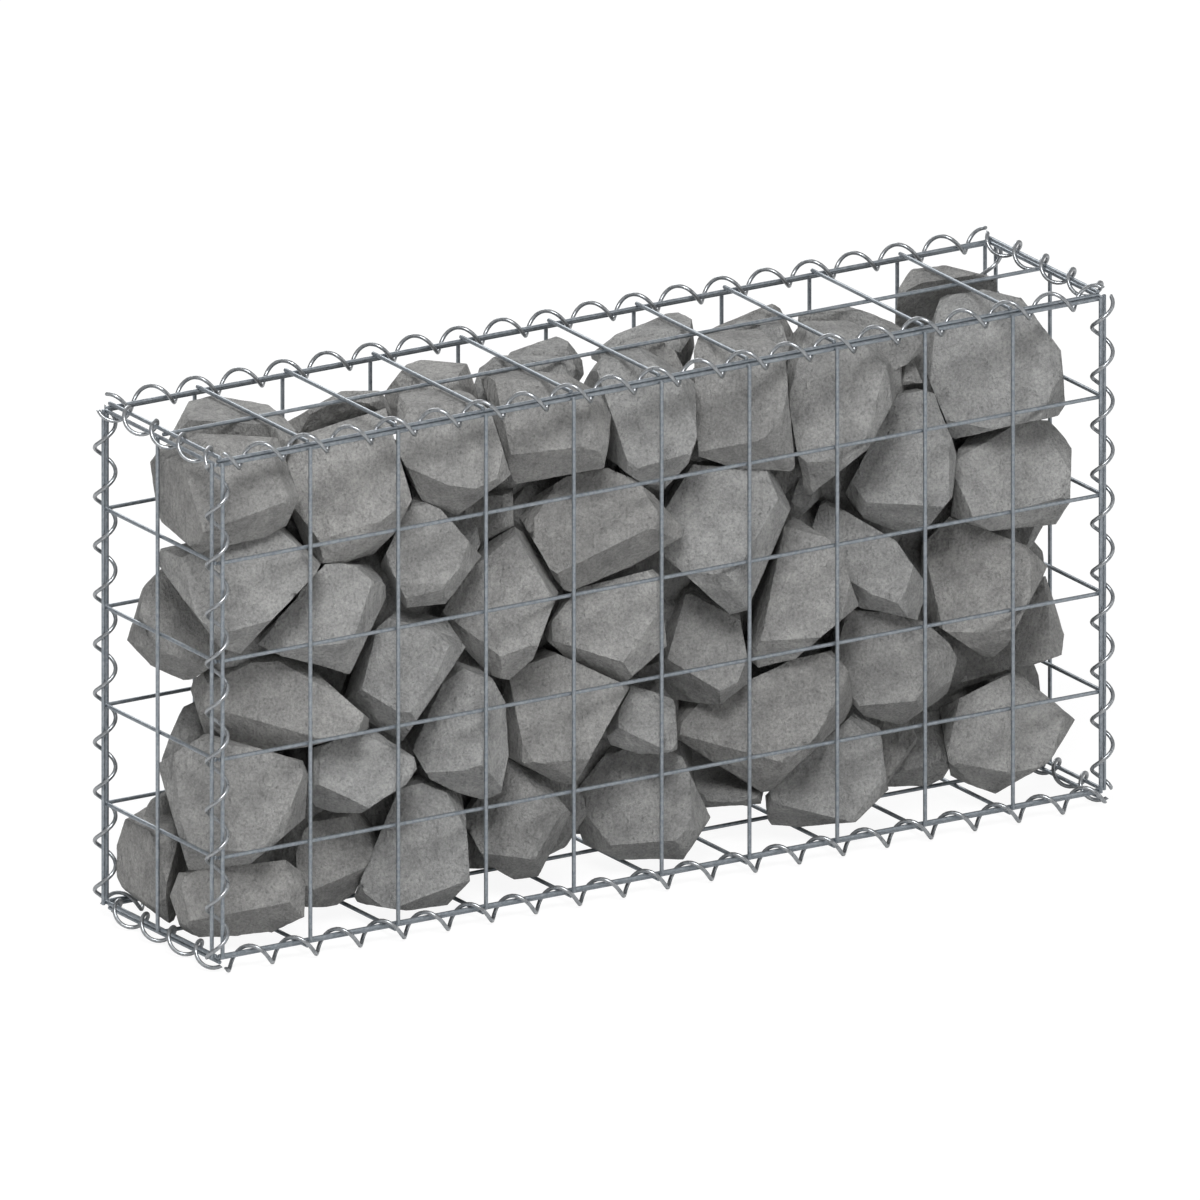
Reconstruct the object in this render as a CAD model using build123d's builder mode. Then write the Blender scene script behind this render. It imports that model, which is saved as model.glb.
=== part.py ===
"""Gabion wall: a welded wire basket, laced with spirals and filled with quarried stone.

The basket stands on its bottom spirals at Z = 0, with +X along its length,
+Y towards its back and +Z up. All sizes are in millimetres.
"""

import os
from itertools import product
from math import atan2, ceil, cos, pi, radians, sin, sqrt
from random import Random

from build123d import *

# Driving sizes
MESH = 100  # opening of the welded mesh, centre to centre
BAYS = 10  # mesh openings along the length
COURSES = 5  # mesh openings up the height
LEAVES = 2  # mesh openings through the depth
WIRE = 4  # diameter of the mesh wire and of the lacing wire
SPIRAL_RADIUS = 10.5  # from a spiral's axis to the middle of its wire
TURNS_PER_BAY = 2  # each spiral turns twice between two crossing wires
REST_GAP = 0.3  # between pieces that only rest against each other

LENGTH = BAYS * MESH
HEIGHT = COURSES * MESH
DEPTH = LEAVES * MESH
PITCH = MESH / TURNS_PER_BAY

# Mesh wires are hexagonal bars with about the area of the round wire
BAR_RADIUS = 0.54 * WIRE
BAR_FLAT = BAR_RADIUS * sqrt(3) / 2
CROSSING = 2 * BAR_FLAT  # between the two layers of a panel, welded flat to flat
STUB = BAR_RADIUS  # wire left past the last crossing

# How far the inner wires of a panel lie outside the nominal box
SIDE_STANDOFF = (WIRE + REST_GAP) / sqrt(2)
END_STANDOFF = WIRE + REST_GAP
SIDE_ROOM = SIDE_STANDOFF - BAR_FLAT - REST_GAP
END_ROOM = END_STANDOFF - BAR_FLAT - REST_GAP

# Spirals are square wires bent in straight steps, on an axis just outside each edge
STEPS_PER_TURN = 6
LEAST_STEP = 0.2  # of a step, the shortest first or last one
SPIRAL_BAR = WIRE * sqrt(pi / 4)
SPIRAL_CORNER = SPIRAL_RADIUS / sqrt(cos(pi / STEPS_PER_TURN))
SPIRAL_REACH = SPIRAL_CORNER + SPIRAL_BAR / sqrt(2)
SIDE_AXIS = (SIDE_STANDOFF + CROSSING) / 2
END_AXIS = (END_STANDOFF + CROSSING) / 2

# The long spirals are drawn outward until they rest against the inside of the edge wires
SPIRAL_INSIDE = SPIRAL_CORNER * cos(pi / STEPS_PER_TURN) - SPIRAL_BAR / sqrt(2)
LONG_AXIS = SPIRAL_INSIDE - BAR_RADIUS - REST_GAP

TREAD = SPIRAL_RADIUS + WIRE / 2  # a bottom spiral is worn flat this far below its axis

BASE_LEVEL = TREAD + LONG_AXIS  # bottom of the nominal box above the ground
MIDDLE_LEVEL = BASE_LEVEL + HEIGHT / 2

# The stones' outlines are drawn by hand as seen from the front left, in points of that view,
# counted from its top left corner
VIEW_AZIMUTH = radians(31.67)
VIEW_ELEVATION = radians(17.85)
POINTS_PER_MESH = 103.2
VIEW_MIDDLE = (603.8, 599.7)
SIGHT = Plane(
    (0, 0, MIDDLE_LEVEL),
    x_dir=(cos(VIEW_AZIMUTH), -sin(VIEW_AZIMUTH), 0),
    z_dir=(-sin(VIEW_AZIMUTH) * cos(VIEW_ELEVATION),
           -cos(VIEW_AZIMUTH) * cos(VIEW_ELEVATION), sin(VIEW_ELEVATION)),
)

FRONT, MIDDLE, BACK, FILLER = range(4)  # leaves of the fill, the first ones keeping their shape
# Each stone has its leaf and the corners of its outline in the view
STONES = [
    (FRONT, [(148, 474), (172, 436), (274, 441), (294, 497), (279, 530), (199, 549), (165, 520)]),
    (BACK, [(172, 440), (193, 400), (218, 393), (254, 396), (298, 433), (280, 475), (200, 475)]),
    (FRONT, [(281, 478), (300, 440), (389, 412), (412, 493), (403, 519), (361, 562), (314, 560)]),
    (BACK, [(286, 425), (341, 394), (381, 393), (398, 440), (350, 465), (295, 460)]),
    (FRONT, [(398, 460), (402, 398), (460, 388), (498, 424), (507, 474), (452, 515), (411, 497)]),
    (BACK, [(387, 393), (412, 361), (464, 365), (477, 378), (474, 415), (395, 420)]),
    (FRONT, [(477, 378), (517, 371), (590, 382), (609, 420), (599, 470), (520, 484), (500, 450)]),
    (BACK, [(500, 370), (513, 353), (559, 337), (584, 359), (586, 385), (540, 400)]),
    (FRONT, [(586, 380), (604, 355), (640, 350), (690, 380), (701, 413), (686, 459), (655, 493),
             (607, 458)]),
    (BACK, [(592, 356), (619, 335), (673, 313), (691, 322), (695, 362), (640, 380)]),
    (FRONT, [(690, 378), (704, 331), (752, 326), (786, 360), (794, 448), (790, 467), (745, 468),
             (693, 450)]),
    (BACK, [(704, 334), (775, 304), (796, 343), (780, 365), (715, 360)]),
    (FRONT, [(793, 340), (807, 325), (857, 324), (888, 366), (895, 412), (888, 427), (808, 491),
             (787, 376)]),
    (FRONT, [(885, 400), (905, 390), (936, 399), (961, 481), (918, 535), (875, 527), (837, 490)]),
    (MIDDLE, [(885, 366), (897, 359), (928, 360), (936, 400), (895, 405)]),
    (FRONT, [(923, 358), (945, 300), (984, 294), (1020, 302), (1057, 351), (1061, 402),
             (1045, 424), (956, 444)]),
    (BACK, [(896, 345), (902, 289), (913, 271), (946, 268), (991, 279), (1010, 305), (960, 355)]),
    (FRONT, [(951, 449), (990, 424), (1046, 424), (1068, 447), (1065, 519), (977, 529), (944, 511)]),
    (BACK, [(127, 636), (138, 597), (168, 565), (200, 590), (232, 655), (198, 684), (152, 663)]),
    (FRONT, [(163, 565), (166, 551), (278, 527), (318, 561), (298, 600), (249, 652), (230, 655)]),
    (FRONT, [(318, 563), (368, 563), (385, 592), (348, 670), (284, 653), (258, 640), (298, 600)]),
    (FRONT, [(380, 560), (411, 497), (432, 503), (478, 556), (440, 606), (410, 610)]),
    (FRONT, [(440, 622), (482, 550), (522, 526), (556, 590), (532, 655), (498, 683)]),
    (FRONT, [(519, 510), (566, 481), (600, 468), (642, 487), (682, 533), (612, 573), (566, 592)]),
    (MIDDLE, [(448, 513), (480, 490), (540, 485), (540, 530), (485, 560)]),
    (FRONT, [(663, 499), (693, 464), (767, 470), (792, 497), (744, 609), (735, 614), (666, 553)]),
    (MIDDLE, [(788, 468), (806, 470), (835, 500), (805, 530), (775, 520)]),
    (FRONT, [(803, 524), (828, 498), (888, 534), (925, 585), (914, 616), (850, 602)]),
    (FRONT, [(750, 610), (768, 551), (793, 521), (836, 549), (854, 605), (780, 667), (752, 662)]),
    (FRONT, [(923, 587), (926, 536), (949, 513), (1010, 536), (1043, 567), (1005, 641),
             (987, 657), (925, 615)]),
    (MIDDLE, [(1043, 580), (1064, 646), (1051, 667), (964, 696), (940, 680), (950, 640),
              (1000, 590)]),
    (FRONT, [(943, 710), (1015, 675), (1070, 721), (1046, 761), (990, 794), (954, 773)]),
    (FRONT, [(838, 682), (833, 640), (857, 607), (936, 628), (953, 659), (944, 692), (903, 721),
             (872, 720)]),
    (MIDDLE, [(874, 722), (946, 712), (955, 770), (926, 784), (885, 784)]),
    (FRONT, [(769, 786), (847, 713), (877, 732), (885, 789), (854, 819), (773, 827)]),
    (FRONT, [(674, 702), (747, 684), (829, 645), (852, 692), (834, 735), (767, 790), (680, 735)]),
    (MIDDLE, [(690, 735), (780, 735), (767, 801), (703, 807)]),
    (MIDDLE, [(640, 680), (662, 590), (678, 573), (738, 600), (752, 676), (719, 700), (672, 698)]),
    (FRONT, [(546, 636), (568, 594), (655, 572), (663, 645), (624, 679), (584, 669)]),
    (FRONT, [(345, 702), (366, 640), (400, 612), (443, 622), (462, 648), (402, 736)]),
    (FRONT, [(193, 684), (223, 664), (284, 650), (370, 725), (305, 744), (262, 750), (208, 731)]),
    (BACK, [(160, 770), (172, 735), (190, 695), (230, 720), (225, 775)]),
    (FRONT, [(163, 766), (213, 735), (297, 759), (304, 776), (301, 817), (239, 869), (193, 870)]),
    (FRONT, [(310, 751), (371, 732), (418, 763), (403, 784), (353, 816), (316, 804)]),
    (MIDDLE, [(298, 855), (315, 806), (360, 812), (397, 862), (323, 911), (303, 912)]),
    (FRONT, [(172, 888), (188, 865), (272, 855), (301, 876), (300, 916), (279, 929), (188, 937)]),
    (BACK, [(115, 870), (120, 824), (162, 802), (195, 868), (172, 923), (157, 921), (124, 888)]),
    (FRONT, [(403, 785), (415, 767), (448, 784), (463, 815), (467, 878), (437, 910), (356, 898)]),
    (FRONT, [(408, 735), (448, 664), (487, 674), (503, 705), (506, 753), (497, 798), (440, 788)]),
    (FRONT, [(464, 817), (502, 756), (530, 766), (567, 814), (533, 881), (522, 881), (489, 862)]),
    (FRONT, [(505, 702), (510, 679), (543, 645), (630, 685), (579, 776), (571, 785), (506, 753)]),
    (FRONT, [(606, 728), (631, 685), (673, 702), (675, 753), (655, 758), (612, 743)]),
    (FRONT, [(573, 802), (619, 742), (676, 753), (706, 817), (676, 863), (637, 864), (588, 842)]),
]
GROWTH = 1.07  # outlines are drawn a little large, so that neighbours meet
SEAT = 0.03 * MESH  # a stone is pressed this far against the mesh, and worn flat there
FRONT_FACETS = 4
BACK_FACETS = 3
FRONT_THICKNESS = 0.32  # from the outline to the broad face, as a share of the stone's size
BACK_THICKNESS = 0.42
BEHIND_THICKNESS = 1.5  # stones behind are thicker by this, so that they meet those in front

# Ranges of the broken faces: degrees from the line of sight, and radians of chance about it
BROAD_LEAN, BROAD_TURN = (6, 18), 1.2
UNDER_LEAN, UNDER_TURN = (50, 62), 0.5
SLOPE_LEAN, SLOPE_TURN = (58, 76), 0.3

FLOOR_LEVEL = BASE_LEVEL - SIDE_ROOM - SEAT  # where the lowest stones rest
LOW = 0.35 * MESH  # a stone no higher than this over the base lies on the base

# Filler stones: places a course, corners, and the chance in their places and outlines
FILLERS_PER_COURSE = 8
FILLER_CORNERS = 6
FILLER_DEPTH = 0.25 * DEPTH  # behind the middle of the basket
FILLER_LEVEL = 0.52 * MESH  # above the bottom of its course
FILLER_SHIFT = 0.08 * MESH
FILLER_LIFT = 0.06 * MESH
FILLER_REACH = (0.76, 0.88)  # from the middle to a corner, in mesh openings
FILLER_SKEW = 0.15  # a corner's turn out of its even place, in steps between corners
FILLER_RETREAT = 0.9  # a corner that would show draws back by this share at a time

FAR = 3.2 * MESH  # stones this far apart can't touch
SIDEWAYS_COST = 2  # a filler gives way in depth rather than sideways
CLEFT = 0.82  # a point beside a stone counts as hidden down to this share of its distance
LEAST_VOLUME = 0.03 * MESH ** 3  # smaller pieces fall out through the mesh
STONE_SEED = 11


def export(builder, label):
    """Write one named piece as a STEP file."""
    builder.part.label = label
    export_step(builder.part, f"parts/{label}.step")


def evenly(count):
    """Places of count + 1 wires, one mesh apart and centred on zero."""
    return [(index - count / 2) * MESH for index in range(count + 1)]


def mesh_panel(label, middle, along, outward, columns, rows, standoff):
    """Weld one flat panel: inner wires run along it and outer wires run across them."""
    plane = Plane(middle, x_dir=along, z_dir=outward)
    width, height = columns * MESH, rows * MESH
    inner = plane.from_local_coords((-width / 2 - STUB, 0, standoff))
    outer = plane.from_local_coords((0, -height / 2 - STUB, standoff + CROSSING))
    with BuildPart() as panel:
        with BuildSketch(Plane(inner, x_dir=plane.y_dir, z_dir=plane.x_dir)):
            with Locations(*[(place, 0) for place in evenly(rows)]):
                RegularPolygon(BAR_RADIUS, 6)
        extrude(amount=width + 2 * STUB)
        with BuildSketch(Plane(outer, x_dir=plane.x_dir, z_dir=plane.y_dir)):
            with Locations(*[(place, 0) for place in evenly(columns)]):
                RegularPolygon(BAR_RADIUS, 6)
        extrude(amount=height + 2 * STUB)
    export(panel, label)


def spiral(label, middle, outward, run, shift):
    """Bend one right-handed spiral about an edge of the basket.

    The wire faces outward at each crossing wire, and shift slides it along. A
    bend points straight down on a level edge, so that every turn can stand.
    """
    edge = Plane(middle, x_dir=outward, z_dir=run)
    down = edge.to_local_coords(edge.origin - Vector(0, 0, 1))
    start = 2 * pi * (-run.length / 2 - shift) / PITCH
    end = start + 2 * pi * run.length / PITCH
    step = 2 * pi / STEPS_PER_TURN
    lowest = atan2(down.Y, down.X)
    bend = lowest + step * ceil((start - lowest) / step + LEAST_STEP)
    angles = [start]
    while bend < end - LEAST_STEP * step:
        angles.append(bend)
        bend += step
    angles.append(end)
    points = []
    for angle in angles:
        place = (angle - start) * PITCH / (2 * pi) - run.length / 2
        swing = (SPIRAL_CORNER * cos(angle), SPIRAL_CORNER * sin(angle), place)
        points.append(edge.from_local_coords(swing))
    with BuildPart() as wire:
        with BuildLine() as route:
            Polyline(*points)
        first = points[1] - points[0]
        with BuildSketch(Plane(points[0], x_dir=edge.z_dir.cross(first), z_dir=first)):
            Rectangle(SPIRAL_BAR, SPIRAL_BAR)
        sweep(path=route.line, transition=Transition.RIGHT)
        if middle.Z < BASE_LEVEL:
            split(bisect_by=Plane.XY, keep=Keep.TOP)
    export(wire, label)


class Stone:
    """One quarried stone: a prism along the line of sight, broken to large facets."""

    def __init__(self, leaf, outline, dice):
        self.leaf = leaf
        middle = sum(outline, Vector()) / len(outline)
        self.ring = [middle + (point - middle) * GROWTH for point in outline]
        self.facings = []
        for point, following in zip(self.ring, self.ring[1:] + self.ring[:1]):
            side = (following - point).normalized()
            self.facings.append(SIGHT.x_dir * side.Y - SIGHT.y_dir * side.X)
        with BuildPart() as block:
            with BuildSketch(SIGHT):
                with BuildLine():
                    Polyline(*[(point.X, point.Y) for point in self.ring], close=True)
                make_face()
            size = sqrt(block.pending_faces[0].area)
            extrude(amount=size, both=True)
            for cut in self.facets(size, dice):
                split(bisect_by=cut, keep=Keep.BOTTOM)
        self.body = self.slide(block.part)
        self.corners = [(corner.X, corner.Y, corner.Z) for corner in self.body.vertices()]
        self.middle = self.body.center()

    def facets(self, size, dice):
        """The planes of the broken faces: one broad face each way, with sloping ones around."""
        planes = []
        for way, around, thickness in ((1, FRONT_FACETS, FRONT_THICKNESS),
                                       (-1, BACK_FACETS, BACK_THICKNESS)):
            turn = pi / 2 + dice.uniform(-BROAD_TURN, BROAD_TURN)
            lean = radians(dice.uniform(*BROAD_LEAN))
            if self.leaf != FRONT:
                thickness *= BEHIND_THICKNESS
            planes.append(self.facet(turn, lean, way, thickness * size))
            turn = -pi / 2 + dice.uniform(-UNDER_TURN, UNDER_TURN)
            lean = radians(dice.uniform(*UNDER_LEAN))
            for index in range(around):
                planes.append(self.facet(turn, lean, way))
                turn += 2 * pi / around + dice.uniform(-SLOPE_TURN, SLOPE_TURN)
                lean = radians(dice.uniform(*SLOPE_LEAN))
        return planes

    def facet(self, turn, lean, way, reach=None):
        """A plane that leans from the line of sight, just clear of the outline or at a reach."""
        local = Vector(cos(turn) * sin(lean), sin(turn) * sin(lean), way * cos(lean))
        facing = SIGHT.x_dir * local.X + SIGHT.y_dir * local.Y + SIGHT.z_dir * local.Z
        middle = sum(self.ring, Vector()) / len(self.ring)
        if reach is None:
            reach = max(local.dot(point - middle) for point in self.ring)
        self.facings.append(facing)
        return Plane(SIGHT.from_local_coords(middle) + facing * reach, z_dir=facing)

    def slide(self, body):
        """Move the stone along the line of sight to its leaf."""
        box = body.bounding_box()
        room = DEPTH / 2 + SIDE_ROOM + SEAT
        if self.leaf == FRONT:
            travel = box.min.Y + room
            above = box.min.Z - travel * SIGHT.z_dir.Z / SIGHT.z_dir.Y - FLOOR_LEVEL
            if 0 < above < LOW:
                travel += above * SIGHT.z_dir.Y / SIGHT.z_dir.Z
        elif self.leaf == MIDDLE:
            travel = box.center().Y
        else:
            travel = box.max.Y - room
        return body.moved(Location(SIGHT.z_dir * (-travel / SIGHT.z_dir.Y)))

    def span(self, way):
        """Lowest and highest reach of the stone's corners along a direction."""
        reaches = [way.X * x + way.Y * y + way.Z * z for x, y, z in self.corners]
        return min(reaches), max(reaches)

    def partings(self, others):
        """The planes that keep this stone clear of those that crowd it."""
        planes = []
        for other in others:
            if other is self or (other.middle - self.middle).length > FAR:
                continue
            least = None
            for way in self.facings + other.facings + [(other.middle - self.middle).normalized()]:
                own, theirs = self.span(way), other.span(way)
                cost = 1
                if other.leaf != self.leaf and FILLER in (self.leaf, other.leaf):
                    cost += SIDEWAYS_COST * (1 - abs(way.dot(SIGHT.z_dir)))
                for facing, near, far in ((way, own[1], theirs[0]), (-way, -own[0], -theirs[1])):
                    if least is None or cost * (near - far) < least:
                        least = cost * (near - far)
                        chosen = (facing, near, far)
            facing, near, far = chosen
            if near - far < -REST_GAP:
                continue
            level = (near + far) / 2
            if other.leaf != self.leaf:
                level = near if self.leaf < other.leaf else far
            planes.append(Plane(facing * (level - REST_GAP / 2), z_dir=facing))
        return planes

    def carve(self, space, others):
        """Cut the stone clear of its neighbours and of the basket."""
        with BuildPart() as block:
            add(self.body)
            for cut in self.partings(others):
                heights = [cut.to_local_coords(Vector(corner.X, corner.Y, corner.Z)).Z
                           for corner in block.vertices()]
                if min(heights) > -REST_GAP:
                    return None
                split(bisect_by=cut, keep=Keep.BOTTOM)
            add(space, mode=Mode.INTERSECT)
        return block.part


def stone_bin():
    """The space that the mesh and the spirals leave for the stones."""
    leg = sqrt(2) * (SPIRAL_REACH + REST_GAP) - (END_AXIS - END_ROOM) - (SIDE_AXIS - SIDE_ROOM)
    with BuildPart() as space:
        with Locations((0, 0, MIDDLE_LEVEL)):
            Box(LENGTH + 2 * END_ROOM, DEPTH + 2 * SIDE_ROOM, HEIGHT + 2 * SIDE_ROOM)
        chamfer(space.edges(), leg)
    return space.part


def drawn_stones(dice):
    """The stones that show from the front left, from their outlines."""
    stones = []
    for leaf, points in STONES:
        outline = [
            Vector(x - VIEW_MIDDLE[0], VIEW_MIDDLE[1] - y) * (MESH / POINTS_PER_MESH)
            for x, y in points
        ]
        stones.append(Stone(leaf, outline, dice))
    return stones


def hidden(point, drawn):
    """Whether a point of the view lies on a drawn stone, or in the cleft beside one."""
    for stone in drawn:
        middle = sum(stone.ring, Vector()) / len(stone.ring)
        near = middle + (point - middle) * CLEFT
        turns = []
        for start, end in zip(stone.ring, stone.ring[1:] + stone.ring[:1]):
            turns.append((end - start).cross(near - start).Z)
        if min(turns) > 0 or max(turns) < 0:
            return True
    return False


def filler_stones(drawn, dice):
    """Stones at the back, wherever the drawn ones hide them."""
    stones = []
    spacing = LENGTH / FILLERS_PER_COURSE
    for course in range(COURSES):
        for place in range(FILLERS_PER_COURSE):
            spot = Vector(
                (place + 0.5) * spacing - LENGTH / 2 + dice.uniform(-FILLER_SHIFT, FILLER_SHIFT),
                FILLER_DEPTH,
                BASE_LEVEL + course * MESH + FILLER_LEVEL + dice.uniform(-FILLER_LIFT, FILLER_LIFT),
            )
            centre = SIGHT.to_local_coords(spot)
            centre = Vector(centre.X, centre.Y)
            if not hidden(centre, drawn):
                continue
            outline = []
            for corner in range(FILLER_CORNERS):
                skew = dice.uniform(-FILLER_SKEW, FILLER_SKEW)
                turn = 2 * pi * (corner + skew) / FILLER_CORNERS
                reach = Vector(cos(turn), sin(turn)) * (MESH * dice.uniform(*FILLER_REACH))
                while not hidden(centre + reach, drawn):
                    reach = reach * FILLER_RETREAT
                outline.append(centre + reach)
            stones.append(Stone(FILLER, outline, dice))
    return stones


def fill_stones():
    """Fill the basket, with one piece for each course of each leaf."""
    dice = Random(STONE_SEED)
    drawn = drawn_stones(dice)
    stones = drawn + filler_stones(drawn, dice)
    space = stone_bin()
    for name, leaves in (("front", (FRONT,)), ("back", (MIDDLE, BACK, FILLER))):
        for course in range(COURSES):
            with BuildPart() as layer:
                for stone in stones:
                    level = min(max(int((stone.middle.Z - BASE_LEVEL) / MESH), 0), COURSES - 1)
                    if stone.leaf in leaves and level == course:
                        body = stone.carve(space, stones)
                        if body and body.volume > LEAST_VOLUME:
                            add(body)
            export(layer, f"stones_{name}_course_{course + 1}")


# How far each spiral is slid along its edge
SHIFTS = {
    "bottom_front": 2.5, "bottom_back": -5, "top_front": 2, "top_back": -5,
    "bottom_left": 11.5, "bottom_right": 0, "top_left": 6.5, "top_right": 10,
    "front_left": 9.5, "front_right": -6.5, "back_left": 10, "back_right": 0,
}


def lace_edges():
    """Lace all twelve edges of the basket with spirals."""
    ends = {"left": -1, "right": 1}
    faces = {"front": -1, "back": 1}
    levels = {"bottom": -1, "top": 1}
    x_axis, y_axis = LENGTH / 2 + END_AXIS, DEPTH / 2 + SIDE_AXIS
    z_axis = HEIGHT / 2 + SIDE_AXIS
    centre = Vector(0, 0, MIDDLE_LEVEL)
    for (level, z), (face, y) in product(levels.items(), faces.items()):
        name = f"{level}_{face}"
        middle = Vector(0, y * (DEPTH / 2 + LONG_AXIS), z * (HEIGHT / 2 + LONG_AXIS))
        spiral(f"spiral_{name}", centre + middle,
               Vector(0, y, z), Vector(LENGTH, 0, 0), SHIFTS[name])
    for (level, z), (end, x) in product(levels.items(), ends.items()):
        name = f"{level}_{end}"
        spiral(f"spiral_{name}", centre + Vector(x * x_axis, 0, z * z_axis),
               Vector(x, 0, z), Vector(0, DEPTH, 0), SHIFTS[name])
    for (face, y), (end, x) in product(faces.items(), ends.items()):
        name = f"{face}_{end}"
        spiral(f"spiral_{name}", centre + Vector(x * x_axis, y * y_axis, 0),
               Vector(x, y, 0), Vector(0, 0, HEIGHT), SHIFTS[name])


def weld_panels():
    """Weld the six flat panels of the basket."""
    for label, y in (("front_panel", -1), ("back_panel", 1)):
        mesh_panel(label, Vector(0, y * DEPTH / 2, MIDDLE_LEVEL), (1, 0, 0), (0, y, 0),
                   BAYS, COURSES, SIDE_STANDOFF)
    for label, x in (("left_end_panel", -1), ("right_end_panel", 1)):
        mesh_panel(label, Vector(x * LENGTH / 2, 0, MIDDLE_LEVEL), (0, 1, 0), (x, 0, 0),
                   LEAVES, COURSES, END_STANDOFF)
    for label, z in (("base_panel", -1), ("lid_panel", 1)):
        mesh_panel(label, Vector(0, 0, MIDDLE_LEVEL + z * HEIGHT / 2), (1, 0, 0), (0, 0, z),
                   BAYS, LEAVES, SIDE_STANDOFF)


os.makedirs("parts", exist_ok=True)
weld_panels()
lace_edges()
fill_stones()
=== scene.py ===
"""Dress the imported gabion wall: round galvanised wires, bright spirals and rough quarried stone."""

import logging
import math
from dataclasses import dataclass, field
from enum import Enum
from random import Random

import bpy
from mathutils import Matrix, Vector


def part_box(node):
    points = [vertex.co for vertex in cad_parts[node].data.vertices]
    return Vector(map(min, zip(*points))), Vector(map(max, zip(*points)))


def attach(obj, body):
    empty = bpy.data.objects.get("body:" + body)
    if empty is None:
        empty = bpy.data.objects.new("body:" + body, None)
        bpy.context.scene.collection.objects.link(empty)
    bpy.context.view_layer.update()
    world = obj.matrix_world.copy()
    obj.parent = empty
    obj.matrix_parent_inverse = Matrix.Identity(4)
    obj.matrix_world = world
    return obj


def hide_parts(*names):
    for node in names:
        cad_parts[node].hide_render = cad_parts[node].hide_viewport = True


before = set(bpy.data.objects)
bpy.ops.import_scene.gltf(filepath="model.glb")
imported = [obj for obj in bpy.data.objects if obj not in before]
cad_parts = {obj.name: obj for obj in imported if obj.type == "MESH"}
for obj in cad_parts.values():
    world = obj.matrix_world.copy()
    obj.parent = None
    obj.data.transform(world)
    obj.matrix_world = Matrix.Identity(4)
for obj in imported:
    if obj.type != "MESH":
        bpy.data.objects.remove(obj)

LOG = logging.getLogger("gabion")
BODY = "root"
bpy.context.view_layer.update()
TONE = "stone_tone"  # the attribute that holds each stone's own tone

# Sizes of the basket in metres
MESH = 0.1
WIRE = 0.004
WIRE_STUB = 0.54 * WIRE  # from a panel's edge to the middle of its outer wire
SPIRAL_RADIUS = 0.0102
SPIRAL_PITCH = MESH / 2
SIDE_AXIS = 0.00339  # from the middle of the outer wires to a spiral's axis
END_AXIS = 0.00402
LONG_AXIS = 0.00481

Colour = tuple[float, float, float]
Span = tuple[float, float]


class Slot(Enum):
    """Names of the material slots."""

    MESH = "galvanised_mesh"
    SPIRAL = "galvanised_spiral"
    STONE = "quarried_stone"


class Axis(Enum):
    """The three directions of the wall."""

    LENGTH = 0
    DEPTH = 1
    HEIGHT = 2

    def unit(self) -> Vector:
        """The unit vector along this direction."""
        return Vector([1.0 if place == self.value else 0.0 for place in range(3)])


class NodeSketch:
    """Adds named nodes and links to one material."""

    def __init__(self, name: str) -> None:
        """Start an empty node material.

        Args:
            name: The material's name.
        """
        self.material = bpy.data.materials.new(name)
        self.material.use_nodes = True
        self.tree = self.material.node_tree
        self.tree.nodes.clear()

    def add(self, kind: str, **settings: object) -> bpy.types.Node:
        """Add a node.

        Args:
            kind: The node's type name.
            settings: Properties of the node, and input values by socket name.

        Returns:
            The new node.
        """
        node = self.tree.nodes.new(kind)
        for name, value in settings.items():
            if hasattr(node, name):
                setattr(node, name, value)
            else:
                node.inputs[name.replace("_", " ")].default_value = value
        return node

    def link(self, source: bpy.types.Node, output: str, target: bpy.types.Node,
             entry: str | int) -> None:
        """Join an output of one node to an input of another."""
        self.tree.links.new(source.outputs[output], target.inputs[entry])

    def noise(self, place: bpy.types.Node, output: str, **settings: float) -> bpy.types.Node:
        """Add a noise texture.

        Args:
            place: The node that gives the place in the object.
            output: The name of its output.
            settings: The noise's input values by socket name.

        Returns:
            The noise node.
        """
        node = self.add("ShaderNodeTexNoise", **settings)
        self.link(place, output, node, "Vector")
        return node

    def bump(self, height: bpy.types.Node, under: bpy.types.Node | None = None,
             **settings: float) -> bpy.types.Node:
        """Add a relief.

        Args:
            height: The noise that gives its height.
            under: The coarser relief that it lies on.
            settings: The relief's input values by socket name.

        Returns:
            The bump node.
        """
        node = self.add("ShaderNodeBump", **settings)
        self.link(height, "Fac", node, "Height")
        if under:
            self.link(under, "Normal", node, "Normal")
        return node

    def ramp(self, source: bpy.types.Node, output: str,
             stops: tuple[tuple[float, Colour], ...]) -> bpy.types.Node:
        """Add a colour ramp fed by another node.

        Args:
            source: The node that drives the ramp.
            output: The name of its output.
            stops: Position and colour of each stop.

        Returns:
            The colour ramp node.
        """
        node = self.add("ShaderNodeValToRGB")
        while len(node.color_ramp.elements) < len(stops):
            node.color_ramp.elements.new(0.5)
        for element, (place, colour) in zip(node.color_ramp.elements, stops):
            element.position = place
            element.color = (*colour, 1.0)
        self.link(source, output, node, "Fac")
        return node

    def multiply(self, base: bpy.types.Node, tint: bpy.types.Node, share: float) -> bpy.types.Node:
        """Multiply one colour by another.

        Args:
            base: The node of the first colour.
            tint: The node of the second colour.
            share: How strongly the second colour counts.

        Returns:
            The mixing node.
        """
        node = self.add("ShaderNodeMixRGB", blend_type="MULTIPLY")
        node.inputs["Fac"].default_value = share
        self.link(base, "Color", node, "Color1")
        self.link(tint, "Color", node, "Color2")
        return node

    def surface(self, shader: bpy.types.Node, output: str) -> bpy.types.Material:
        """Send a shader to the surface.

        Args:
            shader: The last shader node.
            output: The name of its output.

        Returns:
            The finished material.
        """
        self.link(shader, output, self.add("ShaderNodeOutputMaterial"), "Surface")
        return self.material


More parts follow.
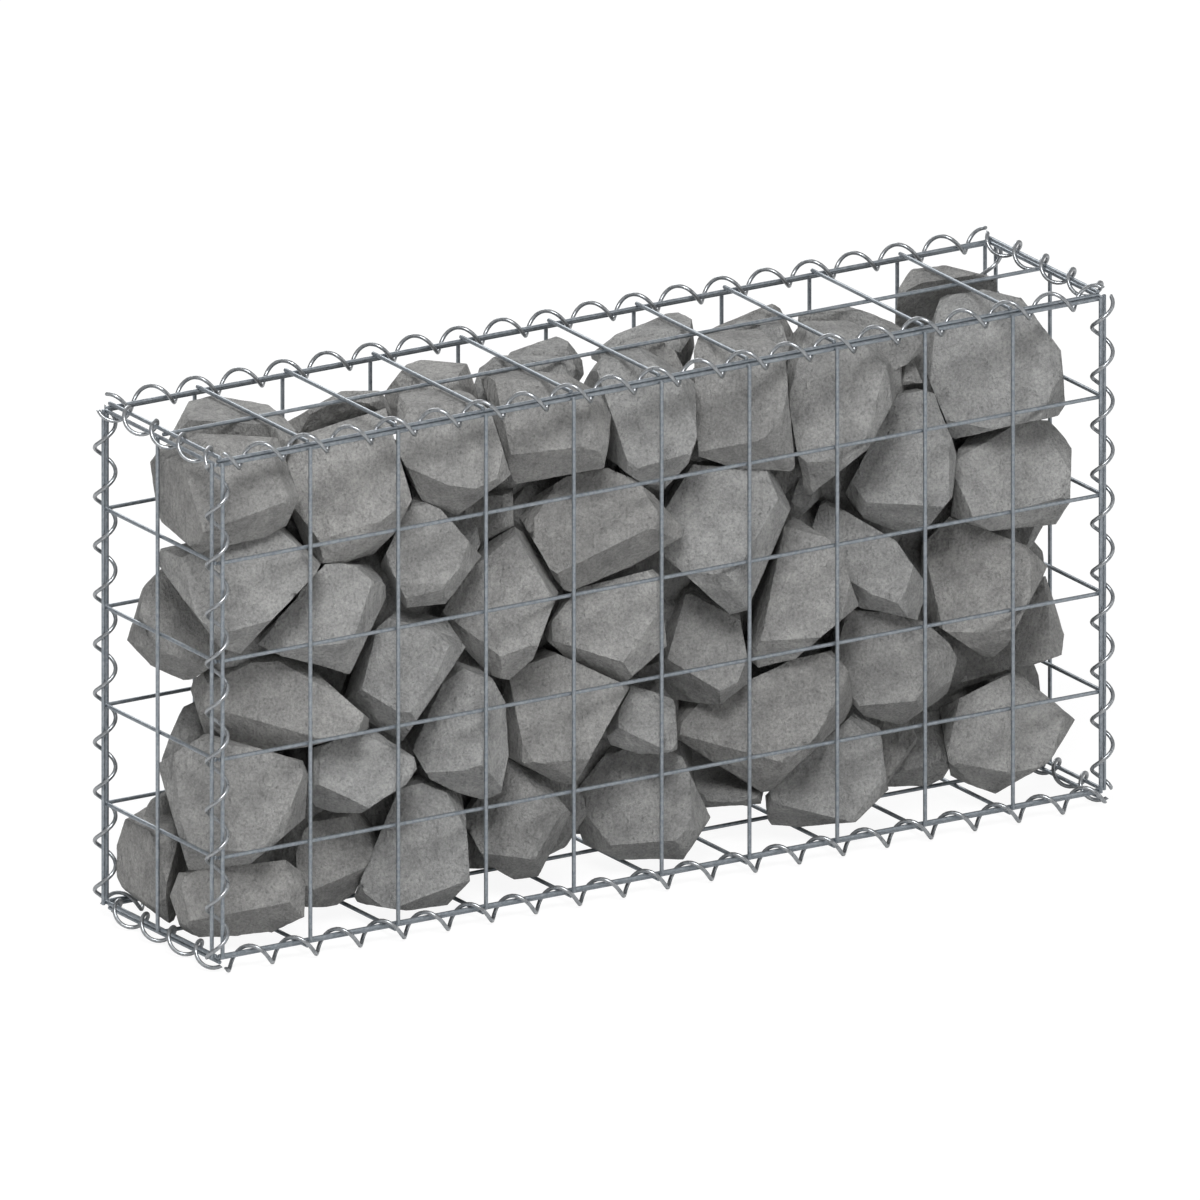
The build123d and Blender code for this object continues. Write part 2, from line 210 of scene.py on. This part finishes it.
@dataclass(frozen=True)
class ZincFinish:
    """Hot-dip galvanised wire: grey zinc with a faint spangle and small runs."""

    name: str
    bright: Colour
    dull: Colour
    roughness: float
    smoother: float = 0.08
    rougher: float = 0.12
    metal: float = 0.85
    spangle_scale: float = 260.0
    spangle_edges: Span = (0.35, 0.65)
    run_scale: float = 700.0
    run_height: float = 0.0004
    run_strength: float = 0.15

    def build(self) -> bpy.types.Material:
        """Make the node material.

        Returns:
            The material.
        """
        sketch = NodeSketch(self.name)
        place = sketch.add("ShaderNodeTexCoord")
        spangle = sketch.noise(place, "Object", Scale=self.spangle_scale, Detail=3.0, Roughness=0.6)
        colour = sketch.ramp(spangle, "Fac", tuple(zip(self.spangle_edges, (self.dull, self.bright))))
        gloss = sketch.add("ShaderNodeMapRange")
        gloss.inputs["To Min"].default_value = self.roughness - self.smoother
        gloss.inputs["To Max"].default_value = self.roughness + self.rougher
        sketch.link(spangle, "Fac", gloss, "Value")
        runs = sketch.noise(place, "Object", Scale=self.run_scale, Detail=2.0)
        relief = sketch.bump(runs, Strength=self.run_strength, Distance=self.run_height)
        shader = sketch.add("ShaderNodeBsdfPrincipled", Metallic=self.metal)
        sketch.link(colour, "Color", shader, "Base Color")
        sketch.link(gloss, "Result", shader, "Roughness")
        sketch.link(relief, "Normal", shader, "Normal")
        return sketch.surface(shader, "BSDF")


@dataclass(frozen=True)
class StoneFinish:
    """Broken grey quarry stone: mottled grain, pale bruises and fine tool marks."""

    name: str
    dark: Colour
    middle: Colour
    pale: Colour
    mottle_scale: float = 45.0
    mottle_edges: tuple[float, float, float] = (0.34, 0.5, 0.68)
    mottle_height: float = 0.006
    mottle_strength: float = 0.8
    groove_scale: float = 120.0
    groove_turn: tuple[float, float, float] = (0.5, 0.9, 0.4)
    groove_squeeze: tuple[float, float, float] = (1.0, 1.0, 0.25)
    groove_height: float = 0.006
    grain_scale: float = 360.0
    grain_height: float = 0.0012
    speck_share: float = 0.8
    specks: tuple[tuple[float, Colour], ...] = (
        (0.32, (0.66, 0.66, 0.67)), (0.5, (1.0, 1.0, 1.0)), (0.68, (1.28, 1.28, 1.27)))
    roughness: float = 0.9
    sheen: float = 0.25

    def build(self) -> bpy.types.Material:
        """Make the node material.

        Returns:
            The material.
        """
        sketch = NodeSketch(self.name)
        place = sketch.add("ShaderNodeTexCoord")
        mottle = sketch.noise(place, "Object", Scale=self.mottle_scale, Detail=6.0, Roughness=0.65)
        grain = sketch.noise(place, "Object", Scale=self.grain_scale, Detail=6.0, Roughness=0.75)
        tilt = sketch.add("ShaderNodeMapping")
        tilt.inputs["Rotation"].default_value = self.groove_turn
        tilt.inputs["Scale"].default_value = self.groove_squeeze
        sketch.link(place, "Object", tilt, "Vector")
        grooves = sketch.noise(tilt, "Vector", Scale=self.groove_scale, Detail=4.0, Roughness=0.6)

        shades = tuple(zip(self.mottle_edges, (self.dark, self.middle, self.pale)))
        specks = sketch.ramp(grain, "Fac", self.specks)
        speckled = sketch.multiply(sketch.ramp(mottle, "Fac", shades), specks, self.speck_share)
        tone = sketch.add("ShaderNodeAttribute", attribute_name=TONE)
        toned = sketch.multiply(speckled, tone, 1.0)

        coarse = sketch.bump(mottle, Strength=self.mottle_strength, Distance=self.mottle_height)
        tooled = sketch.bump(grooves, coarse, Strength=1.0, Distance=self.groove_height)
        fine = sketch.bump(grain, tooled, Strength=1.0, Distance=self.grain_height)
        shader = sketch.add("ShaderNodeBsdfPrincipled", Roughness=self.roughness)
        shader.inputs["Specular IOR Level"].default_value = self.sheen
        sketch.link(toned, "Color", shader, "Base Color")
        sketch.link(fine, "Normal", shader, "Normal")
        return sketch.surface(shader, "BSDF")


def deselect() -> None:
    """Leave edit mode and select nothing."""
    if bpy.context.object and bpy.context.object.mode != "OBJECT":
        bpy.ops.object.mode_set(mode="OBJECT")
    bpy.ops.object.select_all(action="DESELECT")


def take(*pieces: bpy.types.Object) -> None:
    """Select only these pieces and make the first one active."""
    deselect()
    for piece in pieces:
        piece.select_set(True)
    bpy.context.view_layer.objects.active = pieces[0]


def join(pieces: list[bpy.types.Object], name: str) -> bpy.types.Object:
    """Join pieces into one object.

    Args:
        pieces: The objects to join.
        name: The name of the result.

    Returns:
        The joined object, at the origin.
    """
    take(*pieces)
    if len(pieces) > 1:
        bpy.ops.object.join()
    joined = bpy.context.object
    joined.name = name
    joined.data.name = name
    bpy.ops.object.transform_apply(location=True, rotation=True, scale=True)
    deselect()
    return joined


def finish_piece(piece: bpy.types.Object, node: str, finish: bpy.types.Material) -> None:
    """Dress a piece and let it stand for its CAD node.

    Args:
        piece: The finished object.
        node: The CAD node that it replaces.
        finish: The material.
    """
    piece.data.materials.clear()
    piece.data.materials.append(finish)
    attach(piece, BODY)
    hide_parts(node)
    LOG.info("%s: %d faces", piece.name, len(piece.data.polygons))


@dataclass
class WeldedPanel:
    """One flat panel of straight wires, crossing at right angles and welded.

    Outward is 1 or -1 along the normal. A wire's end faces are told by how far up they look.
    """

    node: str
    inner_way: Axis
    outer_way: Axis
    normal: Axis
    outward: int
    wire: float = WIRE
    sides: int = 12
    cut: float = 0.0004
    end_slant: float = 0.9
    smooth: float = math.radians(40)

    def single_wire(self, length: float) -> bpy.types.Object:
        """Model one straight wire with chamfered cut ends.

        Args:
            length: The wire's length.

        Returns:
            The wire, lying along Z about the origin.
        """
        deselect()
        bpy.ops.mesh.primitive_cylinder_add(vertices=self.sides, radius=self.wire / 2, depth=length)
        wire = bpy.context.object
        bpy.ops.object.mode_set(mode="EDIT")
        bpy.ops.mesh.select_mode(type="FACE")
        bpy.ops.mesh.select_all(action="DESELECT")
        bpy.ops.object.mode_set(mode="OBJECT")
        for face in wire.data.polygons:
            face.select = abs(face.normal.z) > self.end_slant
        bpy.ops.object.mode_set(mode="EDIT")
        bpy.ops.mesh.inset(thickness=self.cut)
        bpy.ops.object.mode_set(mode="OBJECT")
        bpy.ops.object.shade_smooth_by_angle(angle=self.smooth)
        for vertex in wire.data.vertices:
            if vertex.co.xy.length > self.wire / 2 - self.cut / 2:
                vertex.co.z -= math.copysign(self.cut, vertex.co.z)
        return wire

    def row(self, way: Axis, across: Axis, level: float) -> list[bpy.types.Object]:
        """Lay one layer of parallel wires.

        Args:
            way: The direction that the wires run in.
            across: The direction that they are spaced in.
            level: Their place along the panel's normal.

        Returns:
            The wires, in place.
        """
        low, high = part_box(self.node)
        length = high[way.value] - low[way.value]
        first = low[across.value] + WIRE_STUB
        count = round((high[across.value] - low[across.value] - 2 * WIRE_STUB) / MESH) + 1
        pattern = self.single_wire(length)
        turn = Vector((0, 0, 1)).rotation_difference(way.unit()).to_matrix().to_4x4()
        wires = []
        for index in range(count):
            wire = pattern.copy()
            wire.data = pattern.data.copy()
            bpy.context.collection.objects.link(wire)
            spot = (low + high) / 2
            spot[self.normal.value] = level
            spot[across.value] = first + index * MESH
            wire.matrix_world = Matrix.Translation(spot) @ turn
            wires.append(wire)
        bpy.data.objects.remove(pattern)
        return wires

    def build(self, finish: bpy.types.Material) -> None:
        """Weld two layers of wires, each half the panel's thickness, and dress the panel."""
        low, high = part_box(self.node)
        middle = (low[self.normal.value] + high[self.normal.value]) / 2
        step = self.outward * (high[self.normal.value] - low[self.normal.value]) / 4
        inner = self.row(self.inner_way, self.outer_way, middle - step)
        outer = self.row(self.outer_way, self.inner_way, middle + step)
        panel = join(inner + outer, f"{self.node}_wires")
        finish_piece(panel, self.node, finish)


@dataclass
class LacingSpiral:
    """One round wire spiral, wound about an edge of the basket.

    The shift is how far its turns are moved along the edge.
    """

    node: str
    middle: Vector
    outward: Vector
    run: Vector
    shift: float
    wire: float = WIRE
    radius: float = SPIRAL_RADIUS
    pitch: float = SPIRAL_PITCH
    sides: int = 10
    steps: int = 22
    smooth: float = math.radians(50)

    def wind(self) -> bpy.types.Object:
        """Wind the spiral by a ring of corners, stretched so that the slanting wire is round.

        Returns:
            The spiral, upright above the origin.
        """
        deselect()
        bpy.ops.mesh.primitive_circle_add(
            vertices=self.sides, radius=self.wire / 2, location=(self.radius, 0, 0),
            rotation=(math.pi / 2, 0, 0))
        spiral = bpy.context.object
        bpy.ops.object.transform_apply(location=False, rotation=True, scale=False)
        lead = self.pitch / (2 * math.pi * self.radius)
        spiral.scale.z = math.sqrt(1 + lead * lead)
        bpy.ops.object.transform_apply(location=True, rotation=False, scale=True)
        bpy.ops.object.modifier_add(type="SCREW")
        screw = spiral.modifiers[-1]
        screw.axis = "Z"
        screw.angle = 2 * math.pi
        screw.screw_offset = self.pitch
        screw.iterations = round(self.run.length / self.pitch)
        screw.steps = screw.render_steps = self.steps
        screw.use_smooth_shade = True
        bpy.ops.object.modifier_apply(modifier=screw.name)
        bpy.ops.object.mode_set(mode="EDIT")
        bpy.ops.mesh.select_all(action="SELECT")
        bpy.ops.mesh.fill_holes(sides=self.sides)
        bpy.ops.mesh.select_all(action="SELECT")
        bpy.ops.mesh.normals_make_consistent(inside=False)
        bpy.ops.object.mode_set(mode="OBJECT")
        bpy.ops.object.shade_smooth_by_angle(angle=self.smooth)
        return spiral

    def build(self, finish: bpy.types.Material) -> None:
        """Wind the spiral, place it on its edge and dress it."""
        spiral = self.wind()
        start = -self.run.length / 2
        angle = 2 * math.pi * (start - self.shift) / self.pitch
        along = self.run.normalized()
        out = self.outward.normalized()
        edge = Matrix((out, along.cross(out), along)).transposed().to_4x4()
        spiral.matrix_world = (Matrix.Translation(self.middle) @ edge
                               @ Matrix.Translation((0, 0, start)) @ Matrix.Rotation(angle, 4, "Z"))
        spiral = join([spiral], f"{self.node}_wire")
        finish_piece(spiral, self.node, finish)


def scatter(dice: Random, spread: float) -> Vector:
    """A shift by chance, up to the spread along each axis."""
    return Vector([dice.uniform(-spread, spread) for axis in Axis])


def cut_off(stone: bpy.types.Object, way: Vector, reach: float) -> None:
    """Cut a stone off square to a direction, seen from the origin.

    Args:
        stone: The stone.
        way: The direction, of length one.
        reach: How far out along it the cut lies.
    """
    bpy.context.view_layer.objects.active = stone
    bpy.ops.object.mode_set(mode="EDIT")
    bpy.ops.mesh.select_all(action="SELECT")
    bpy.ops.mesh.bisect(plane_co=way * reach, plane_no=way, use_fill=True, clear_outer=True)
    bpy.ops.object.mode_set(mode="OBJECT")


def paint(stone: bpy.types.Object, colour: Colour) -> None:
    """Store a stone's own tone for its finish."""
    layer = stone.data.color_attributes.new(TONE, "FLOAT_COLOR", "POINT")
    for item in layer.data:
        item.color = (*colour, 1.0)


def clouds(name: str, size: float) -> bpy.types.Texture:
    """The cloud texture of this name, made when it is first asked for."""
    texture = bpy.data.textures.get(name) or bpy.data.textures.new(name, "CLOUDS")
    texture.noise_scale = size
    texture.noise_depth = 2
    return texture


@dataclass
class StoneLayer:
    """The stones of one CAD node, each roughened from its plain block.

    A stone's stoutness is its volume over its skin, in metres, and a thin flake has little.
    """

    node: str
    seed: int
    least_stoutness: float = 0.0055
    corner_chips: int = 5
    corner_tilt: float = 0.45
    corner_depth: Span = (0.002, 0.007)
    edge_chips: int = 7
    edge_tilt: float = 0.25
    edge_depth: Span = (0.003, 0.008)
    merge_distance: float = 0.00001
    flat_angle: float = math.radians(1)
    skin_octree: int = 5
    skin_share: float = 0.9
    lump_size: float = 0.035
    lump_relief: float = 0.0022
    pit_size: float = 0.008
    pit_relief: float = 0.0009
    mid_level: float = 0.55
    smooth: float = math.radians(15)
    shade: Span = (0.92, 1.08)
    warmth: Span = (-0.006, 0.008)

    @staticmethod
    def middle(stone: bpy.types.Object) -> Vector:
        """The mean of a stone's corners."""
        return sum((corner.co for corner in stone.data.vertices), Vector()) / len(stone.data.vertices)

    @staticmethod
    def stoutness(stone: bpy.types.Object) -> float:
        """A stone's volume over the area of its skin."""
        faces = stone.data.polygons
        volume = sum(face.area * face.normal.dot(face.center) for face in faces) / 3
        return volume / sum(face.area for face in faces)

    def separate(self) -> list[bpy.types.Object]:
        """Copy the node's blocks, part them and drop the thin flakes.

        Returns:
            The single stones, from left to right.
        """
        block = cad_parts[self.node].copy()
        block.data = block.data.copy()
        block.parent = None
        bpy.context.collection.objects.link(block)
        take(block)
        bpy.ops.object.mode_set(mode="EDIT")
        bpy.ops.mesh.select_all(action="SELECT")
        bpy.ops.mesh.remove_doubles(threshold=self.merge_distance)
        bpy.ops.mesh.dissolve_limited(angle_limit=self.flat_angle)
        bpy.ops.mesh.separate(type="LOOSE")
        bpy.ops.object.mode_set(mode="OBJECT")
        stones = sorted(bpy.context.selected_objects, key=lambda stone: self.middle(stone).x)
        for flake in [stone for stone in stones if self.stoutness(stone) < self.least_stoutness]:
            LOG.info("%s: a thin flake of %.4f is left out", self.node, self.stoutness(flake))
            stones.remove(flake)
            bpy.data.objects.remove(flake)
        return stones

    @staticmethod
    def knock(stone: bpy.types.Object, way: Vector, depth: float) -> None:
        """Cut a stone off at a depth below its reach in a direction."""
        reach = max(way.dot(corner.co) for corner in stone.data.vertices)
        cut_off(stone, way, reach - depth)

    def chip(self, stone: bpy.types.Object, dice: Random) -> None:
        """Knock small flakes off a stone's corners and along its edges.

        Args:
            stone: The stone.
            dice: The source of chance.
        """
        take(stone)
        middle = self.middle(stone)
        corners = [corner.co.copy() for corner in stone.data.vertices]
        for corner in dice.sample(corners, min(self.corner_chips, len(corners))):
            way = (corner - middle).normalized() + scatter(dice, self.corner_tilt)
            self.knock(stone, way.normalized(), dice.uniform(*self.corner_depth))
        points = [corner.co.copy() for corner in stone.data.vertices]
        edges = [tuple(edge.vertices) for edge in stone.data.edges]
        for first, second in dice.sample(edges, min(self.edge_chips, len(edges))):
            ridge = (points[first] + points[second]) / 2
            way = (ridge - middle).normalized() + scatter(dice, self.edge_tilt)
            self.knock(stone, way.normalized(), dice.uniform(*self.edge_depth))

    def roughen(self, stone: bpy.types.Object) -> None:
        """Give a stone an even skin and push it in and out."""
        take(stone)
        bpy.ops.object.modifier_add(type="REMESH")
        skin = stone.modifiers[-1]
        skin.mode = "SHARP"
        skin.octree_depth = self.skin_octree
        skin.scale = self.skin_share
        skin.sharpness = 1.0
        skin.use_remove_disconnected = False
        bpy.ops.object.modifier_apply(modifier=skin.name)
        lumps = clouds("stone_lumps", self.lump_size)
        pits = clouds("stone_pits", self.pit_size)
        for texture, relief in ((lumps, self.lump_relief), (pits, self.pit_relief)):
            bpy.ops.object.modifier_add(type="DISPLACE")
            push = stone.modifiers[-1]
            push.texture = texture
            push.texture_coords = "LOCAL"
            push.mid_level = self.mid_level
            push.strength = relief
            bpy.ops.object.modifier_apply(modifier=push.name)
        bpy.ops.object.shade_smooth_by_angle(angle=self.smooth)

    def build(self, finish: bpy.types.Material) -> None:
        """Rough out every stone of the layer and dress them as one piece."""
        dice = Random(self.seed)
        stones = self.separate()
        for stone in stones:
            self.chip(stone, dice)
            self.roughen(stone)
            shade = dice.uniform(*self.shade)
            warmth = dice.uniform(*self.warmth)
            paint(stone, (shade * (1 + warmth), shade, shade * (1 - warmth)))
        layer = join(stones, f"{self.node}_rough")
        finish_piece(layer, self.node, finish)


@dataclass
class Rubble:
    """Small stones wedged between the front and the back ones, seen through the clefts.

    They stand in rows and columns, whose heights and those of the extra wedges count from the
    lowest wire. The open places, by row and column, stay empty.
    """

    seed: int = 23
    rows: int = 6
    columns: int = 12
    left: float = -0.4
    right: float = 0.45
    bottom: float = 0.062
    top: float = 0.42
    depth: float = 0.008
    side_play: float = 0.012
    depth_play: float = 0.008
    height_play: float = 0.01
    open_places: tuple[tuple[int, int], ...] = ((0, 7),)
    wedges: tuple[tuple[float, float, float], ...] = ((-0.445, 0.055, 0.08), (-0.062, 0.0, 0.244))
    size: tuple[float, float, float] = (0.05, 0.022, 0.05)
    size_play: Span = (0.9, 1.1)
    cuts: int = 9
    cut_reach: Span = (0.72, 0.86)
    smooth: float = math.radians(20)
    # each small stone's tone differs at random, and the whole range lies below the outer stones' as
    # painted shade for the dark clefts
    shade: Span = (0.8, 0.95)

    def stone(self, spot: Vector, dice: Random) -> bpy.types.Object:
        """Break one small stone from a ball.

        Args:
            spot: Its middle.
            dice: The source of chance.

        Returns:
            The stone, in place.
        """
        deselect()
        bpy.ops.mesh.primitive_ico_sphere_add(subdivisions=3, radius=1.0)
        stone = bpy.context.object
        for _ in range(self.cuts):
            way = Vector([dice.gauss(0.0, 1.0) for axis in Axis]).normalized()
            cut_off(stone, way, dice.uniform(*self.cut_reach))
        stone.scale = [side * dice.uniform(*self.size_play) for side in self.size]
        stone.location = spot
        bpy.ops.object.transform_apply(location=True, rotation=False, scale=True)
        bpy.ops.object.shade_smooth_by_angle(angle=self.smooth)
        # painted shade: a random tone, darker than the outer stones', for the stones seen through the
        # clefts
        shade = dice.uniform(*self.shade)
        paint(stone, (shade, shade, shade))
        return stone

    def build(self, finish: bpy.types.Material) -> None:
        """Scatter the small stones and dress them as one piece."""
        dice = Random(self.seed)
        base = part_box("front_panel")[0].z + WIRE_STUB
        across = (self.right - self.left) / (self.columns - 1)
        rise = (self.top - self.bottom) / (self.rows - 1)
        stones = []
        for row in range(self.rows):
            for column in range(self.columns):
                if (row, column) in self.open_places:
                    continue
                spot = Vector((
                    self.left + column * across + dice.uniform(-self.side_play, self.side_play),
                    self.depth + dice.uniform(-self.depth_play, self.depth_play),
                    base + self.bottom + row * rise + dice.uniform(-self.height_play, self.height_play),
                ))
                stones.append(self.stone(spot, dice))
        for wedge in self.wedges:
            stones.append(self.stone(Vector(wedge) + Vector((0, 0, base)), dice))
        rubble = join(stones, "stones_rubble")
        rubble.data.materials.append(finish)
        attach(rubble, BODY)
        LOG.info("%s: %d faces", rubble.name, len(rubble.data.polygons))


@dataclass
class Basket:
    """The welded wire basket with its twelve lacing spirals.

    The shifts say how far each spiral's turns are moved along its edge.
    """

    zinc: ZincFinish = ZincFinish(
        "galvanised_mesh_wire", bright=(0.36, 0.39, 0.42), dull=(0.24, 0.27, 0.3), roughness=0.42)
    bright: ZincFinish = ZincFinish(
        "galvanised_spiral_wire", bright=(0.4, 0.415, 0.43), dull=(0.28, 0.295, 0.31), roughness=0.28)
    shifts: dict[str, float] = field(default_factory=lambda: {
        "bottom_front": 0.0025, "bottom_back": -0.005, "top_front": 0.002, "top_back": -0.005,
        "bottom_left": 0.0115, "bottom_right": 0.0, "top_left": 0.0065, "top_right": 0.01,
        "front_left": 0.0095, "front_right": -0.0065, "back_left": 0.01, "back_right": 0.0})

    def panels(self) -> list[WeldedPanel]:
        """The six flat panels."""
        length, depth, height = Axis.LENGTH, Axis.DEPTH, Axis.HEIGHT
        return [
            WeldedPanel("front_panel", length, height, depth, -1),
            WeldedPanel("back_panel", length, height, depth, 1),
            WeldedPanel("left_end_panel", depth, height, length, -1),
            WeldedPanel("right_end_panel", depth, height, length, 1),
            WeldedPanel("base_panel", length, depth, height, -1),
            WeldedPanel("lid_panel", length, depth, height, 1),
        ]

    def spirals(self) -> list[LacingSpiral]:
        """The twelve spirals, one along each edge."""
        low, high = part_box("front_panel")
        half_length = (high.x - low.x) / 2 - WIRE_STUB
        half_height = (high.z - low.z) / 2 - WIRE_STUB
        half_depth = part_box("lid_panel")[1].y - WIRE_STUB
        centre = Vector((0, 0, (low.z + high.z) / 2))
        long_run = Axis.LENGTH.unit() * 2 * half_length
        end_run = Axis.DEPTH.unit() * 2 * half_depth
        upright_run = Axis.HEIGHT.unit() * 2 * half_height
        ends = {"left": -1, "right": 1}
        faces = {"front": -1, "back": 1}
        levels = {"bottom": -1, "top": 1}
        made = []
        for level, z in levels.items():
            for face, y in faces.items():
                spot = Vector((0, y * (half_depth + LONG_AXIS), z * (half_height + LONG_AXIS)))
                made.append((f"{level}_{face}", spot, Vector((0, y, z)), long_run))
            for end, x in ends.items():
                spot = Vector((x * (half_length + END_AXIS), 0, z * (half_height + SIDE_AXIS)))
                made.append((f"{level}_{end}", spot, Vector((x, 0, z)), end_run))
        for face, y in faces.items():
            for end, x in ends.items():
                spot = Vector((x * (half_length + END_AXIS), y * (half_depth + SIDE_AXIS), 0))
                made.append((f"{face}_{end}", spot, Vector((x, y, 0)), upright_run))
        return [LacingSpiral(f"spiral_{name}", centre + spot, outward, run, self.shifts[name])
                for name, spot, outward, run in made]

    def build(self) -> None:
        """Build all wires of the basket."""
        zinc, bright = self.zinc.build(), self.bright.build()
        for panel in self.panels():
            panel.build(zinc)
        for spiral in self.spirals():
            spiral.build(bright)


@dataclass
class StoneFilling:
    """All stones in the basket."""

    finish: StoneFinish = StoneFinish(
        "quarried_stone_face", dark=(0.248, 0.248, 0.245), middle=(0.303, 0.303, 0.298),
        pale=(0.364, 0.363, 0.356))
    seed: int = 40

    def build(self) -> None:
        """Rough out every layer of stones."""
        material = self.finish.build()
        names = sorted(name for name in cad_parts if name.startswith("stones_"))
        for index, name in enumerate(names):
            StoneLayer(name, self.seed + index).build(material)
        Rubble().build(material)


@dataclass(frozen=True)
class Lamp:
    """One soft square lamp: its name, place, side and power in watts."""

    name: str
    spot: tuple[float, float, float]
    side: float
    power: float

    def build(self, target: Vector) -> None:
        """Hang the lamp and aim it at the target."""
        data = bpy.data.lights.new(self.name, "AREA")
        data.size = self.side
        data.energy = self.power
        lamp = bpy.data.objects.new(self.name, data)
        bpy.context.scene.collection.objects.link(lamp)
        lamp.location = self.spot
        lamp.rotation_euler = (target - Vector(self.spot)).to_track_quat("-Z", "Y").to_euler()


@dataclass
class Studio:
    """A pale floor, soft light and the camera at the photograph's angle.

    Right and up are the directions of the photograph's sides. The target's height counts from
    the lowest wire, and the width is what the camera takes in.
    """

    right: Vector = field(default_factory=lambda: Vector((0.851, -0.525, 0.0)))
    up: Vector = field(default_factory=lambda: Vector((0.161, 0.261, 0.952)))
    target: Vector = field(default_factory=lambda: Vector((-0.0043, 0.0, 0.2504)))
    width: float = 1.163
    distance: float = 4.0
    floor_size: float = 40.0
    floor_grey: float = 0.8
    floor_glow: float = 1.08
    floor_glow_share: float = 0.85
    sky_strength: float = 0.42
    lamps: tuple[Lamp, ...] = (
        Lamp("key_lamp", (-1.5, -2.0, 3.2), 1.4, 115.0),
        Lamp("fill_lamp", (2.6, -2.4, 1.6), 2.0, 14.0),
        Lamp("rear_lamp", (0.8, 2.8, 2.0), 1.8, 40.0))

    def camera(self) -> None:
        """Set up the orthographic camera."""
        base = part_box("front_panel")[0].z + WIRE_STUB
        back = self.right.cross(self.up).normalized()
        up = back.cross(self.right).normalized()
        data = bpy.data.cameras.new("photo_camera")
        data.type = "ORTHO"
        data.ortho_scale = self.width
        data.clip_end = 50.0
        camera = bpy.data.objects.new("photo_camera", data)
        bpy.context.scene.collection.objects.link(camera)
        turn = Matrix((self.right.normalized(), up, back)).transposed().to_4x4()
        spot = self.target + Vector((0, 0, base)) + back * self.distance
        camera.matrix_world = Matrix.Translation(spot) @ turn
        bpy.context.scene.camera = camera

    def floor(self) -> None:
        """Lay the pale floor, which the camera sees nearly white under the shadow."""
        deselect()
        bpy.ops.mesh.primitive_plane_add(size=self.floor_size)
        floor = bpy.context.object
        floor.name = "studio_floor"
        sketch = NodeSketch("studio_floor_white")
        path = sketch.add("ShaderNodeLightPath")
        matte = sketch.add("ShaderNodeBsdfDiffuse")
        matte.inputs["Color"].default_value = (self.floor_grey, self.floor_grey, self.floor_grey, 1.0)
        glow = sketch.add("ShaderNodeEmission", Strength=self.floor_glow)
        seen = sketch.add("ShaderNodeMath", operation="MULTIPLY")
        seen.inputs[1].default_value = self.floor_glow_share
        mix = sketch.add("ShaderNodeMixShader")
        sketch.link(path, "Is Camera Ray", seen, 0)
        sketch.link(seen, "Value", mix, 0)
        sketch.link(matte, "BSDF", mix, 1)
        sketch.link(glow, "Emission", mix, 2)
        floor.data.materials.append(sketch.surface(mix, "Shader"))

    def sky(self) -> None:
        """Fill the surroundings with plain white light."""
        world = bpy.data.worlds.new("studio_sky")
        world.use_nodes = True
        bpy.context.scene.world = world
        background = world.node_tree.nodes["Background"]
        background.inputs["Color"].default_value = (1.0, 1.0, 1.0, 1.0)
        background.inputs["Strength"].default_value = self.sky_strength

    def build(self) -> None:
        """Set the whole studio."""
        self.camera()
        self.floor()
        self.sky()
        for lamp in self.lamps:
            lamp.build(self.target)
        bpy.context.scene.view_settings.view_transform = "Standard"


def main() -> None:
    """Build the studio, the basket and its stones in order."""
    logging.basicConfig(level=logging.INFO, format="%(name)s %(message)s")
    Studio().build()
    Basket().build()
    StoneFilling().build()


if __name__ == "__main__":
    main()
